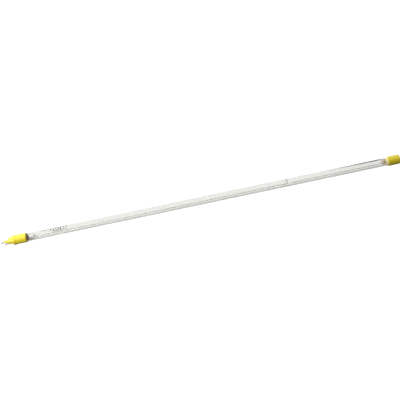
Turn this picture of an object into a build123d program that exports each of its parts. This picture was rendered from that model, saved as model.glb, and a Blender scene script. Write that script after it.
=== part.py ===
from build123d import *
import math
import os

# A single-ended germicidal lamp: a clear quartz tube with a stepped four-pin base at one end and
# a plain cap at the other. The lamp lies along X, with +Z up and the base at -X, and the origin is on
# its axis, halfway along it. Each piece is drawn with the pins side by side along Z, front -Y and
# back +Y, and is then rolled with the whole lamp to the side that it comes to rest on.

os.makedirs("parts", exist_ok=True)

# Whole lamp
overall_length = 973.0  # from the ends of the longest pins to the end of the far cap
rest_roll = 38.0  # degrees about X, which brings the heavy side with the return wires lowest

# Quartz tube
tube_od = 19.0
tube_wall = 1.1
pinch_length = 10.0
pinch_thickness = 4.0
press_lead = 0.3  # the jaws open this far past the glass
taper_length = 4.0  # where the round tube is pressed down to the flat pinch
cavity_end_height = 1.8
cavity_end_gap = 1.0  # quartz between the end of the cavity and the flat pinch

# Both caps
cap_od = 22.2
cap_overlap = 7.0  # how far the round part of the tube goes into a cap
cement_gap = 0.45
rim_bevel_length = 2.4
rim_bevel_depth = 0.45

# Base cap
base_cap_length = 43.5  # from the step face to the rim
nose_length = 11.2
nose_face_d = 17.0
nose_root_d = 19.8
nose_edge = 0.7
nose_flat = 7.6  # distance of the front flat from the axis
nose_floor = 1.6  # from the nose's shoulder to the floor that the pin heads seat on
collar_d = 23.4
collar_width = 6.0
collar_edge = 0.5
tongue_length = 11.6
tongue_thickness = 6.8
tongue_width = 14.0
tongue_corner = 2.4
tongue_tip_edge = 0.5
tongue_draft = 1.5  # degrees

# Far cap
far_cap_length = 29.0
far_end_wall = 2.0
far_end_edge = 2.4
far_inner_edge = 1.2

# Pins
pin_d = 2.3
pin_seat_d = 2.4  # the part that sits in the cap
pin_tip_edge = 0.7
pin_clearance = 0.05
pin_head_d = 3.2
pin_head_thickness = 0.8
pin_tail_d = 1.9
pin_tail_length = 2.0
pin_cup_depth = 1.7
tip_pin_reach = 6.0  # out of the end of the tongue
tip_pin_y = -1.3
tip_pin_pitch = 8.4
step_pin_reach = 9.0  # out of the step face
step_pin_y = -5.8
step_pin_pitch = 6.0

# Cement
cement_beads = {"base": 3.8, "far": 5.1}  # how far each bead reaches out of its cap
cement_root_setback = 0.3  # the bead's root stays inside the cap's outer edge by this
cement_toe = 0.25  # thickness of the bead where it ends on the glass
crown_along = 0.55  # shares of the bead's length and height at the crown of its curve
crown_rise = 0.7

# Electrodes
foil_spacing = 10.0
foil_width = 3.0
foil_length = 7.0
foil_thickness = 0.1
foil_lap = 2.2  # how far a wire lies on its foil
post_d = 0.8
post_spacing = 12.0
post_flare = 6.0
post_bend = 5.0
electrode_setback = 14.0  # from the rim of the cap to the filament
clamp_d = 1.8
clamp_length = 1.3
coil_d = 1.7
coil_span = 9.2
coil_bow = 1.9
coil_tail_d = 0.45
coil_tail_reach = 0.5  # how far the tail stands out of its clamp
coil_tail_root = 0.5
coil_tail_clearance = 0.04

# Return wires, sleeves and beads
wire_d = 0.6
wire_angles = {"back": -103.0, "front": -140.0}  # degrees from +Y towards +Z
wire_clearance = 0.06
groove_clearance = 0.15
sleeve_od = 1.5
sleeve_rest_gap = 0.05
bead_length = 9.5
bead_gap = 0.2
lead_d = 0.7
crimp_od = 1.9
crimp_length = 6.0
crimp_edge = 0.25
crimp_lap = 2.6  # how far a wire goes into a crimp
crimp_run = 1.8  # straight run of a return wire before its crimp
crimp_from_rim = 13.9
crimp_y = {"back": -1.3, "front": -5.3}
crimp_drop = {"back": 2.6, "front": 1.4}  # clear height between the pinch and a crimp
wire_bend = 0.9
lead_bend = 0.9
wire_leave_base = 14.5  # where a return wire leaves its groove, from the rim
wire_leave_far = 9.6
groove_length = {"base": 18.0, "far": 12.5}
cup_gap = 0.1
lead_turn = {"front": 1.9, "back": 1.6}
lead_pin_run = {"front": 2.8, "back": 2.0}
lead_end_gap = 1.4
back_wire_run = 3.0
front_wire_run = 2.2
front_wire_rounds = (3.6, 4.8, 5.9)  # places along X where it turns round the skirt, from the pins
front_wire_angles = (133.0, 166.0, 200.0)
front_wire_inside = 17.6  # it is inside the bore at this distance from the rim
wire_to_skirt = 1.5

# Retaining band
band_from_base = 631.3  # from the rim of the base cap to the middle of the band
band_width = 14.5
band_wall = 0.35
band_clearance = 0.04

# Amalgam pellet
pellet_d = 4.6
pellet_thickness = 0.6
pellet_edge = 0.2
pellet_setback = 80.0  # from the rim of the base cap

edge_margin = 0.01  # room on each side of a place when edges are picked there

# Places along the lamp
tube_r = tube_od / 2
tube_bore_r = tube_r - tube_wall
cap_r = cap_od / 2
cap_bore_r = tube_r + cement_gap
far_end = overall_length / 2
far_rim = far_end - far_cap_length
tip_pin_x = -overall_length / 2
tongue_x = tip_pin_x + tip_pin_reach
step_x = tongue_x + tongue_length
shoulder_x = step_x + nose_length
collar_x = shoulder_x + collar_width
base_rim = step_x + base_cap_length
wire_r = tube_r + sleeve_rest_gap + sleeve_od / 2
floor_x = shoulder_x + nose_floor
pin_tail_x = floor_x + pin_head_thickness
pin_tail_end = pin_tail_x + pin_tail_length
rim_of = {"base": base_rim, "far": far_rim}
inward_of = {"base": 1, "far": -1}
crimp_inner_x = far_rim + crimp_from_rim
crimp_outer_x = crimp_inner_x + crimp_length
crimp_places = {n: (crimp_y[n], -(pinch_thickness + crimp_od) / 2 - crimp_drop[n]) for n in crimp_y}


def station(end, inward):
    """X of a point that lies this far from an end's cap rim, towards the middle of the lamp."""
    return rim_of[end] + inward_of[end] * inward


round_end = -cap_overlap
flat_start = round_end - taper_length
pinch_end = flat_start - pinch_length
foil_middle = flat_start - pinch_length / 2
foil_inner = foil_middle + foil_length / 2
foil_outer = foil_middle - foil_length / 2
post_z = (foil_thickness + post_d) / 2
lead_z = (foil_thickness + lead_d) / 2


def about_axis(radius, angle):
    """Y and Z of a point at this distance from the axis, with its angle in degrees from +Y to +Z."""
    return radius * math.cos(math.radians(angle)), radius * math.sin(math.radians(angle))


pin_levels = {"upper": 1, "lower": -1}
tip_pin_places = {n: (tip_pin_y, side * tip_pin_pitch / 2) for n, side in pin_levels.items()}
step_pin_places = {n: (step_pin_y, side * step_pin_pitch / 2) for n, side in pin_levels.items()}
wire_places = {n: about_axis(wire_r, angle) for n, angle in wire_angles.items()}


def hand_over(piece, name):
    """Roll a finished piece to the lamp's resting side, label it and write its file."""
    with BuildPart() as rested:
        add(piece.part, rotation=(rest_roll, 0, 0))
    rested.part.label = name
    export_step(rested.part, f"parts/{name}.step")


def bent_wire(points, bends, diameter):
    """A round wire along straight runs that are joined by tangent arcs."""
    with BuildPart() as wire:
        with BuildLine() as route:
            FilletPolyline(*points, radius=bends)
        path = route.wires()[0]
        with BuildSketch(Plane(origin=path @ 0, z_dir=path % 0)):
            Circle(diameter / 2)
        sweep()
    share = wire.part.volume / (math.pi * diameter**2 / 4 * path.length)
    print(f"wire {path.length:.2f} mm long, volume {share:.5f} of its section times length")
    return wire


# Contact pins: a round-tipped shaft, its seat in the cap, a head that seats on the inner floor and
# a hollow tail that takes a wire
def contact_pin(place, tip_x, face_x, soldered_d):
    y, z = place
    axis_plane = Plane(origin=(0, y, z), x_dir=(1, 0, 0), z_dir=(0, -1, 0))
    cup_r = soldered_d / 2 + wire_clearance
    with BuildPart() as pin:
        with BuildSketch(axis_plane):
            with BuildLine():
                Polyline(
                    (tip_x, 0),
                    (tip_x, pin_d / 2),
                    (face_x, pin_d / 2),
                    (face_x, pin_seat_d / 2),
                    (floor_x, pin_seat_d / 2),
                    (floor_x, pin_head_d / 2),
                    (pin_tail_x, pin_head_d / 2),
                    (pin_tail_x, pin_tail_d / 2),
                    (pin_tail_end, pin_tail_d / 2),
                    (pin_tail_end, cup_r),
                    (pin_tail_end - pin_cup_depth, cup_r),
                    (pin_tail_end - pin_cup_depth, 0),
                    close=True,
                )
            make_face()
        revolve(axis=Axis((0, y, z), (1, 0, 0)))
        fillet(pin.edges().sort_by(Axis.X)[0], pin_tip_edge)
    return pin


for level, place in tip_pin_places.items():
    hand_over(contact_pin(place, tip_pin_x, tongue_x, wire_d), f"tip_pin_{level}")
for level, place in step_pin_places.items():
    hand_over(contact_pin(place, step_x - step_pin_reach, step_x, lead_d), f"step_pin_{level}")


# Grooves in a skirt's bore, open to the bore, where the return wires pass the end of the tube
def wire_groove_sketch():
    groove_r = wire_d / 2 + groove_clearance
    depth = wire_r - cap_bore_r + cement_gap / 2
    for angle in wire_angles.values():
        with PolarLocations(wire_r, 1, start_angle=angle):
            Circle(groove_r)
        with PolarLocations(wire_r - depth / 2, 1, start_angle=angle):
            Rectangle(depth, 2 * groove_r)


# Base cap
with BuildPart() as base_cap:
    with BuildSketch(Plane.XZ):
        with BuildLine():
            Polyline(
                (step_x, 0),
                (step_x, nose_face_d / 2),
                (shoulder_x, nose_root_d / 2),
                (shoulder_x, collar_d / 2),
                (collar_x, collar_d / 2),
                (collar_x, cap_r),
                (base_rim - rim_bevel_length, cap_r),
                (base_rim, cap_r - rim_bevel_depth),
                (base_rim, cap_bore_r),
                (floor_x, cap_bore_r),
                (floor_x, 0),
                close=True,
            )
        make_face()
    revolve(axis=Axis.X)
    fillet(base_cap.edges().filter_by(GeomType.CIRCLE).sort_by(Axis.X)[0], nose_edge)
    fillet(base_cap.edges().filter_by(GeomType.CIRCLE).group_by(SortBy.RADIUS)[-1], collar_edge)
    with BuildSketch(Plane.YZ.offset(step_x)):
        with Locations((-nose_flat - collar_d / 2, 0)):
            Rectangle(collar_d, 2 * collar_d)
    extrude(amount=nose_length, mode=Mode.SUBTRACT)
    with BuildSketch(Plane.YZ.offset(step_x)):
        RectangleRounded(tongue_thickness, tongue_width, tongue_corner)
    extrude(amount=-tongue_length, taper=tongue_draft)
    fillet(base_cap.faces().sort_by(Axis.X)[0].edges(), tongue_tip_edge)
    hole_r = pin_seat_d / 2 + pin_clearance
    for hole_x, places in ((tongue_x, tip_pin_places), (step_x, step_pin_places)):
        with BuildSketch(Plane.YZ.offset(hole_x)):
            with Locations(*places.values()):
                Circle(hole_r)
        extrude(amount=floor_x - hole_x, mode=Mode.SUBTRACT)
    with BuildSketch(Plane.YZ.offset(base_rim)):
        wire_groove_sketch()
    extrude(amount=-groove_length["base"], mode=Mode.SUBTRACT)
hand_over(base_cap, "base_cap")


# Far cap, with its closed end rounded outside and inside
with BuildPart() as far_cap:
    inner_end = far_end - far_end_wall
    with BuildSketch(Plane.XZ):
        with BuildLine():
            Polyline(
                (far_rim, cap_bore_r),
                (far_rim, cap_r - rim_bevel_depth),
                (far_rim + rim_bevel_length, cap_r),
                (far_end, cap_r),
                (far_end, 0),
                (inner_end, 0),
                (inner_end, cap_bore_r),
                close=True,
            )
        make_face()
    revolve(axis=Axis.X)
    round_edges = far_cap.edges().filter_by(GeomType.CIRCLE)
    for edge_x, edge_r in ((far_end, far_end_edge), (inner_end, far_inner_edge)):
        fillet(round_edges.filter_by_position(Axis.X, edge_x - edge_margin, edge_x + edge_margin), edge_r)
    with BuildSketch(Plane.YZ.offset(far_rim)):
        wire_groove_sketch()
    extrude(amount=groove_length["far"], mode=Mode.SUBTRACT)
hand_over(far_cap, "far_cap")


# Electrodes and the wires through each pressed end
embedded = []
for end in ("base", "far"):
    way = inward_of[end]
    coil_x = station(end, electrode_setback)
    for side_name, side in (("front", -1), ("back", 1)):
        foil_y = side * foil_spacing / 2
        post_y = side * post_spacing / 2

        with BuildPart() as foil:
            with BuildSketch(Plane.XY):
                with Locations((station(end, foil_middle), foil_y)):
                    Rectangle(foil_length, foil_width)
            extrude(amount=foil_thickness / 2, both=True)
        hand_over(foil, f"{end}_foil_{side_name}")

        post_points = [
            (station(end, foil_inner - foil_lap), foil_y, post_z),
            (station(end, flat_start + post_flare), foil_y, post_z),
            (station(end, flat_start + 2 * post_flare), post_y, post_z),
            (coil_x, post_y, post_z),
        ]
        shank = bent_wire(post_points, post_bend, post_d)
        with BuildPart() as post:
            add(shank.part)
            with BuildSketch(Plane.XZ.offset(-post_y)):
                with Locations((coil_x, post_z)):
                    Circle(clamp_d / 2)
            extrude(amount=clamp_length / 2, both=True)
            with BuildSketch(Plane.XZ.offset(-post_y)):
                with Locations((coil_x, post_z)):
                    Circle(coil_tail_d / 2 + coil_tail_clearance)
            extrude(amount=clamp_length, both=True, mode=Mode.SUBTRACT)
        hand_over(post, f"{end}_post_{side_name}")

        lead_start = (station(end, foil_outer + foil_lap), foil_y, lead_z)
        if end == "base":
            pin_y, pin_z = step_pin_places["lower" if side_name == "back" else "upper"]
            lead_points = [
                lead_start,
                (station(end, pinch_end) - lead_turn[side_name], foil_y, lead_z),
                (pin_tail_end + lead_pin_run[side_name], pin_y, pin_z),
                (pin_tail_end - pin_cup_depth + cup_gap, pin_y, pin_z),
            ]
        else:
            to_y, to_z = crimp_places[side_name]
            turn_x = far_end - far_end_wall - lead_end_gap
            lead_points = [
                lead_start,
                (turn_x, foil_y, lead_z),
                (turn_x, to_y, to_z),
                (crimp_outer_x - crimp_lap, to_y, to_z),
            ]
        lead = bent_wire(lead_points, lead_bend, lead_d)
        hand_over(lead, f"{end}_lead_{side_name}")
        embedded += [foil.part, post.part, lead.part]

    # Filament: a bowed coil between two straight tails that lie in the clamps
    with BuildPart() as filament:
        half = coil_span / 2
        with BuildLine() as coil_axis:
            ThreePointArc(
                (coil_x, -half, post_z),
                (coil_x + way * coil_bow, 0, post_z),
                (coil_x, half, post_z),
            )
        coil_path = coil_axis.wires()[0]
        with BuildSketch(Plane(origin=coil_path @ 0, z_dir=coil_path % 0)):
            Circle(coil_d / 2)
        sweep()
        tail_length = (post_spacing + clamp_length) / 2 + coil_tail_reach - half + coil_tail_root
        for side in (-1, 1):
            with BuildSketch(Plane.XZ.offset(-side * (half - coil_tail_root))):
                with Locations((coil_x, post_z)):
                    Circle(coil_tail_d / 2)
            extrude(amount=-side * tail_length)
    hand_over(filament, f"{end}_filament")


# A round rod along the lamp, with both ends pressed flat between two jaws from above and below
def pressed_rod(radius, half_height, flat_at, tip_at):
    with BuildPart() as rod:
        with BuildSketch(Plane.YZ.offset(station("base", tip_at))):
            Circle(radius)
        extrude(amount=station("far", tip_at) - station("base", tip_at))
        for end in ("base", "far"):
            start_x = station(end, round_end)
            flat_x = station(end, flat_at)
            tip_x = station(end, tip_at)
            middle_x = (start_x + flat_x) / 2
            crest = radius + press_lead
            clear = 2 * radius
            with BuildSketch(Plane.XZ):
                with BuildLine():
                    Bezier(
                        (start_x, crest),
                        (middle_x, crest),
                        (middle_x, half_height),
                        (flat_x, half_height),
                    )
                    if tip_at != flat_at:
                        Line((flat_x, half_height), (tip_x, half_height))
                    Polyline((tip_x, half_height), (tip_x, clear), (start_x, clear), (start_x, crest))
                make_face()
                mirror(about=Plane.XZ)
            extrude(amount=clear, both=True, mode=Mode.SUBTRACT)
    return rod


# Quartz tube: a pressed rod with a pressed cavity, and the wires sealed in its ends
cavity_end = flat_start + cavity_end_gap
cavity = pressed_rod(tube_bore_r, cavity_end_height / 2, cavity_end, cavity_end)
glass = pressed_rod(tube_r, pinch_thickness / 2, flat_start, pinch_end)
with BuildPart() as quartz_tube:
    add(glass.part)
    add([cavity.part, *embedded], mode=Mode.SUBTRACT)
hand_over(quartz_tube, "quartz_tube")


# Cement at each rim: a thin ring between glass and skirt that ends in a bead outside the cap
for end, reach in cement_beads.items():
    toe_x = station(end, reach)
    root_r = cap_r - rim_bevel_depth - cement_root_setback
    toe_r = tube_r + cement_toe
    crown = (station(end, reach * crown_along), toe_r + (root_r - toe_r) * crown_rise)
    with BuildPart() as cement:
        with BuildSketch(Plane.XZ):
            with BuildLine():
                Polyline(
                    (toe_x, toe_r),
                    (toe_x, tube_r),
                    (station(end, round_end), tube_r),
                    (station(end, round_end), cap_bore_r),
                    (rim_of[end], cap_bore_r),
                    (rim_of[end], root_r),
                )
                ThreePointArc((rim_of[end], root_r), crown, (toe_x, toe_r))
            make_face()
        revolve(axis=Axis.X)
        with BuildSketch(Plane.YZ.offset(rim_of[end])):
            with Locations(*wire_places.values()):
                Circle(wire_d / 2 + wire_clearance)
        extrude(amount=inward_of[end] * reach, mode=Mode.SUBTRACT)
    hand_over(cement, f"{end}_cement")


# Return wires, from the far crimps to the long pins, along the outside of the glass
def return_wire(name, base_points):
    y, z = wire_places[name]
    to_y, to_z = crimp_places[name]
    far_points = [
        (station("far", -wire_leave_far), y, z),
        (crimp_inner_x - crimp_run, to_y, to_z),
        (crimp_inner_x + crimp_lap, to_y, to_z),
    ]
    leave_base = (station("base", -wire_leave_base), y, z)
    return bent_wire(base_points + [leave_base] + far_points, wire_bend, wire_d)


wire_end_x = pin_tail_end - pin_cup_depth + cup_gap
lower_pin = tip_pin_places["lower"]
back_route = [(wire_end_x, *lower_pin), (pin_tail_end + back_wire_run, *lower_pin)]
hand_over(return_wire("back", back_route), "return_wire_back")

# The front wire goes round the inside of the skirt to reach the upper pin
upper_pin = tip_pin_places["upper"]
front_route = [(wire_end_x, *upper_pin), (pin_tail_end + front_wire_run, *upper_pin)]
round_r = cap_bore_r - wire_to_skirt
for x, angle in zip(front_wire_rounds, front_wire_angles):
    front_route.append((pin_tail_end + x, *about_axis(round_r, angle)))
front_route.append((station("base", -front_wire_inside), *about_axis(round_r, wire_angles["front"])))
hand_over(return_wire("front", front_route), "return_wire_front")


# Sleeves and beads: tubes threaded on the return wires
def wire_tube(place, from_x, to_x):
    with BuildPart() as tube:
        with BuildSketch(Plane.YZ.offset(from_x)):
            with Locations(place):
                Circle(sleeve_od / 2)
                Circle(wire_d / 2 + wire_clearance, mode=Mode.SUBTRACT)
        extrude(amount=to_x - from_x)
    return tube


for name, place in wire_places.items():
    sleeve_ends = []
    for end, reach in cement_beads.items():
        start = reach + bead_gap
        bead = wire_tube(place, station(end, start), station(end, start + bead_length))
        hand_over(bead, f"{end}_bead_{name}")
        sleeve_ends.append(station(end, start + bead_length + bead_gap))
    hand_over(wire_tube(place, *sleeve_ends), f"wire_sleeve_{name}")

for name, place in crimp_places.items():
    with BuildPart() as crimp:
        with BuildSketch(Plane.YZ.offset(crimp_inner_x)):
            with Locations(place):
                Circle(crimp_od / 2)
                Circle(lead_d / 2 + wire_clearance, mode=Mode.SUBTRACT)
        extrude(amount=crimp_length)
        chamfer(crimp.edges().filter_by(GeomType.CIRCLE).group_by(SortBy.RADIUS)[-1], crimp_edge)
    hand_over(crimp, f"far_crimp_{name}")


# Retaining band: a thin strap drawn round the glass and both sleeves
def strap_outline(growth):
    Circle(tube_r + growth)
    with Locations(*wire_places.values()):
        Circle(sleeve_od / 2 + growth)
    make_hull()


with BuildPart() as retaining_band:
    band_plane = Plane.YZ.offset(base_rim + band_from_base - band_width / 2)
    with BuildSketch(band_plane):
        strap_outline(band_clearance + band_wall)
    extrude(amount=band_width)
    with BuildSketch(band_plane):
        strap_outline(band_clearance)
    extrude(amount=band_width, mode=Mode.SUBTRACT)
hand_over(retaining_band, "retaining_band")

# Amalgam pellet, melted on to the inner wall
with BuildPart() as amalgam_pellet:
    with BuildSketch(Plane.XY.offset(-tube_bore_r + pellet_thickness)):
        with Locations((station("base", pellet_setback), 0)):
            Circle(pellet_d / 2)
    extrude(amount=-2 * pellet_thickness)
    with BuildSketch(Plane.YZ.offset(station("base", pellet_setback - pellet_d))):
        Circle(tube_bore_r)
    extrude(amount=2 * pellet_d, mode=Mode.INTERSECT)
    fillet(amalgam_pellet.faces().sort_by(Axis.Z)[-1].edges(), pellet_edge)
hand_over(amalgam_pellet, "amalgam_pellet")
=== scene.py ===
"""Looks of a single-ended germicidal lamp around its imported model.

A clear quartz tube lies between a yellow pin base at -X and a plain yellow cap at +X, with two
sleeved return wires on its lower side. Lengths are in metres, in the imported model's own frame.
"""

import logging
import math
from collections.abc import Callable
from dataclasses import dataclass
from enum import Enum

import bpy
import numpy as np
from mathutils import Matrix, Vector


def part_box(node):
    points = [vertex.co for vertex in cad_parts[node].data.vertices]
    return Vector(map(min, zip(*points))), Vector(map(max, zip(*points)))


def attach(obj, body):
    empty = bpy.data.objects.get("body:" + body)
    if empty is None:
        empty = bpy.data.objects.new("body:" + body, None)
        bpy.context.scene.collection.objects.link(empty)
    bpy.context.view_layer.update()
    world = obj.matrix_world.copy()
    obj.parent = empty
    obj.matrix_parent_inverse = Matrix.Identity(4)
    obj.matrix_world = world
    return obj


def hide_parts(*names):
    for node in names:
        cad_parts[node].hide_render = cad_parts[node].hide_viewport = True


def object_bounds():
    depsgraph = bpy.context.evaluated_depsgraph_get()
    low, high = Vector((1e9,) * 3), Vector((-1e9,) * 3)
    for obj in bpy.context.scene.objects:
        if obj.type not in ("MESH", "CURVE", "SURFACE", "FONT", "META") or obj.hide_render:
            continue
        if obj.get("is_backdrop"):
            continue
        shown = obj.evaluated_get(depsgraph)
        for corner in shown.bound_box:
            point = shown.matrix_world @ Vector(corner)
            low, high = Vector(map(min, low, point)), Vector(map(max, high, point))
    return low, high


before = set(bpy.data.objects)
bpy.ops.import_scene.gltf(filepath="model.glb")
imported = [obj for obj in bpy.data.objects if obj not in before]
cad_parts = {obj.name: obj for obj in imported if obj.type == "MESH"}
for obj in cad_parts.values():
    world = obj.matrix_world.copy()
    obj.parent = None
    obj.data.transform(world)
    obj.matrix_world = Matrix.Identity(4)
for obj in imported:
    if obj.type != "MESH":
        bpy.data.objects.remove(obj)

logging.basicConfig(level=logging.INFO, format="%(name)s: %(message)s")
log = logging.getLogger("lamp")

BODY = "root"
MM = 0.001
REST_ROLL = math.radians(38.0)  # from the side of the pinch to the side that the lamp lies on
UPPER_SIDE = math.radians(38.0)  # angle about X of the side that is uppermost in the picture
SMOOTH_UNDER = math.radians(32.0)  # edges flatter than this are shaded smooth
NO_LENGTH = 1e-9  # stands for zero where a length divides
FINER = 6.3  # scale of a mottle's second noise, as a multiple of the first one's
PATCH_EDGE = (0.16, 0.36)  # product of both noises where a patch starts, and where it is full
LINE_EDGE = (0.45, 0.7)  # noise where a drawing line starts, and where it is full

Array = np.ndarray
Colour = tuple[float, float, float]
Place = tuple[float, float, float]
Span = tuple[float, float]
Run = tuple[float, float, float]
Socket = bpy.types.NodeSocket
Sockets = dict[str | int, object]
Wires = dict[str, Socket]


class End(Enum):
    """The two ends of the lamp, by the word that their nodes' names start with."""

    BASE = "base"
    FAR = "far"

    @property
    def inward(self) -> int:
        """Sign along X from this end towards the middle of the lamp."""
        return 1 if self is End.BASE else -1

    @property
    def rim(self) -> float:
        """X of the rim of this end's cap."""
        low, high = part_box(f"{self.value}_cap")
        return high.x if self is End.BASE else low.x


class Side(Enum):
    """The two return wires, by the word that their nodes' names end with."""

    BACK = "back"
    FRONT = "front"


# Shapes


def rolled(points: Array) -> Array:
    """Turn points about X from the lamp's own upright to the side that it rests on.

    Args:
        points: Array whose last axis is X, Y and Z with the pinch lying in the XY plane.

    Returns:
        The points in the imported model's frame.
    """
    c, s = math.cos(REST_ROLL), math.sin(REST_ROLL)
    return points @ np.array([[1, 0, 0], [0, c, s], [0, -s, c]])


def turns(count: int) -> Array:
    """Angles of this many equal steps round a full turn, without the last one."""
    return np.arange(count) * (2 * math.pi / count)


def eased(share: Array) -> Array:
    """A smooth step from 0 to 1 as the share s goes from 0 to 1: 3ss - 2sss."""
    return share * share * (3 - 2 * share)


def middle(low: Vector, high: Vector) -> Span:
    """Y and Z halfway between two corners of a box."""
    return (low.y + high.y) / 2, (low.z + high.z) / 2


def round_about(x: Array, radius: Array, angles: Array, centre: Span = (0.0, 0.0)) -> Array:
    """Rings about a line along X: Y is the radius times the cosine, and Z times the sine.

    Args:
        x: X of each point, as rows of rings.
        radius: Distance of each point from the line, in the same shape or one that fits it.
        angles: Angle of each column.
        centre: Y and Z of the line.

    Returns:
        A grid of points with rings as rows.
    """
    x, radius, angles = np.broadcast_arrays(x, radius, angles)
    return np.stack((x, centre[0] + radius * np.cos(angles), centre[1] + radius * np.sin(angles)), -1)


@dataclass(frozen=True)
class Shell:
    """One closed surface, as its points and its faces of four and three corners."""

    points: Array
    quads: Array
    triangles: Array

    @classmethod
    def ring_stack(cls, grid: Array, looped: bool = False, inside_out: bool = False) -> "Shell":
        """Join a stack of closed rings, and face the result outwards.

        Args:
            grid: Points by ring and by place round it.
            looped: The last ring joins the first. Otherwise a fan closes each end.
            inside_out: Face it inwards, as the wall of a hollow.

        Returns:
            The closed surface.
        """
        rings, sides = grid.shape[:2]
        number = np.arange(rings * sides).reshape(rings, sides)
        ahead = np.roll(number, -1, 1)
        joined = rings if looped else rings - 1
        here, there = number[:joined], ahead[:joined]
        up, across = np.roll(number, -1, 0)[:joined], np.roll(ahead, -1, 0)[:joined]
        quads = np.stack((here, there, across, up), -1).reshape(-1, 4)
        points, triangles = grid.reshape(-1, 3), np.zeros((0, 3), int)
        if not looped:
            tips = np.stack((grid[0].mean(0), grid[-1].mean(0)))
            first = np.stack((ahead[0], number[0], np.full(sides, rings * sides)), -1)
            last = np.stack((number[-1], ahead[-1], np.full(sides, rings * sides + 1)), -1)
            points, triangles = np.vstack((points, tips)), np.vstack((first, last))
        shell = cls(points, quads, triangles)
        return shell.flipped() if (shell.volume() < 0) != inside_out else shell

    def volume(self) -> float:
        """Signed volume inside the surface, the sum of a sixth of each triple product."""
        split = np.vstack((self.quads[:, [0, 1, 2]], self.quads[:, [0, 2, 3]], self.triangles))
        a, b, c = (self.points[split[:, k]] for k in range(3))
        return float(np.einsum("ij,ij->i", a, np.cross(b, c)).sum() / 6)

    def flipped(self) -> "Shell":
        """The same surface with its faces turned round."""
        return Shell(self.points, self.quads[:, ::-1], self.triangles[:, ::-1])


def put_in_scene(name: str, data: bpy.types.ID) -> bpy.types.Object:
    """Make an object of this data at the origin, and link it to the scene."""
    made = bpy.data.objects.new(name, data)
    bpy.context.scene.collection.objects.link(made)
    return made


def make_piece(
    name: str,
    shells: list[Shell],
    finish: "Finish",
    replaces: tuple[str, ...] = (),
) -> bpy.types.Object:
    """Put closed surfaces into one mesh, dress it, and let it ride on the lamp.

    Args:
        name: Name of the piece.
        shells: Its surfaces.
        finish: What it is made of.
        replaces: The CAD nodes that it stands for.

    Returns:
        The new object, at the origin with its place in its mesh.
    """
    offsets = np.cumsum([0] + [len(shell.points) for shell in shells[:-1]])
    faces: list[list[int]] = []
    for shell, offset in zip(shells, offsets):
        faces += (shell.quads + offset).tolist() + (shell.triangles + offset).tolist()
    mesh = bpy.data.meshes.new(name)
    mesh.from_pydata(np.vstack([shell.points for shell in shells]).tolist(), [], faces)
    mesh.validate()
    mesh.shade_smooth()
    mesh.set_sharp_from_angle(angle=SMOOTH_UNDER)
    mesh.materials.append(finish.material())
    piece = put_in_scene(name, mesh)
    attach(piece, BODY)
    if replaces:
        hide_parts(*replaces)
    log.info("%s: %d faces", name, len(mesh.polygons))
    return piece


def dress_nodes(finish: "Finish", *nodes: str) -> None:
    """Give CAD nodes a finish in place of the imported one."""
    for node in nodes:
        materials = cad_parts[node].data.materials
        materials.clear()
        materials.append(finish.material())
        log.info("%s keeps its shape and wears %s", node, finish.name)


# Shader building


class Bench:
    """A node tree that is being built."""

    def __init__(self, tree: bpy.types.NodeTree) -> None:
        """Start on this tree."""
        self.tree = tree

    def node(self, kind: str, sockets: Sockets | None = None, **settings: object) -> bpy.types.Node:
        """Add a node, set its options, and set or link its inputs.

        Args:
            kind: Blender's name for the type of node, without ShaderNode.
            sockets: Values for inputs by name or number, or outputs to link to them.
            settings: Options of the node.

        Returns:
            The new node.
        """
        made = self.tree.nodes.new(f"ShaderNode{kind}")
        for option, choice in settings.items():
            setattr(made, option, choice)
        for socket, value in (sockets or {}).items():
            if isinstance(value, Socket):
                self.tree.links.new(value, made.inputs[socket])
            else:
                made.inputs[socket].default_value = value
        return made

    def out(self, kind: str, sockets: Sockets | None = None, **settings: object) -> Socket:
        """Add a node and return its first output."""
        return self.node(kind, sockets, **settings).outputs[0]

    def maths(self, operation: str, *values: object) -> Socket:
        """The result of a sum on numbers or outputs."""
        return self.out("Math", dict(enumerate(values)), operation=operation)

    def product(self, first: Socket, *others: object) -> Socket:
        """All of these multiplied."""
        for other in others:
            first = self.maths("MULTIPLY", first, other)
        return first

    def between(
        self, value: object, low: object, high: object, to_low: object = 0.0, to_high: object = 1.0
    ) -> Socket:
        """A smooth step from to_low to to_high as value goes from low to high."""
        sockets = {0: value, 1: low, 2: high, 3: to_low, 4: to_high}
        return self.out("MapRange", sockets, interpolation_type="SMOOTHSTEP")

    def mixed(self, share: object, first: object, second: object) -> Socket:
        """A mix of two colours."""
        return self.node("Mix", {0: share, 6: first, 7: second}, data_type="RGBA").outputs[2]

    def along(self, place: Socket, way: Place) -> Socket:
        """How far a place lies along a direction, their dot product."""
        return self.node("VectorMath", {0: place, 1: way}, operation="DOT_PRODUCT").outputs["Value"]

    def height(self, place: Socket, angle: float) -> Socket:
        """How far a place lies off the lamp's axis, towards the side at this angle about X."""
        return self.along(place, (0.0, math.cos(angle), math.sin(angle)))

    def bump(self, strength: float, distance: float, height: Socket) -> Socket:
        """A normal that follows this height."""
        return self.out("Bump", {"Strength": strength, "Distance": distance, "Height": height})

    def lit_through(self, shade: float) -> Socket:
        """Opacity of a clear wall: whole to the eye, and only this shade to the light that passes it."""
        return self.between(self.node("LightPath").outputs["Is Shadow Ray"], 0.0, 1.0, 1.0, shade)

    def effect(self, effect: "Effect", place: Socket, **given: object) -> bpy.types.Node:
        """Place one of the shared effects, with its other inputs by their names in small letters."""
        named = {name.replace("_", " ").title(): value for name, value in given.items()}
        return self.node("Group", {"Vector": place} | named, node_tree=effect_tree(effect))

    def stretch(self, place: Socket, rim: float, run: Run) -> Socket:
        """A mask along the lamp, by where it starts, is full and ends from this rim."""
        start, full, end = (rim + step for step in run)
        return self.effect(Effect.STRETCH, place, start=start, full=full, end=end).outputs["Mask"]


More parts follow.
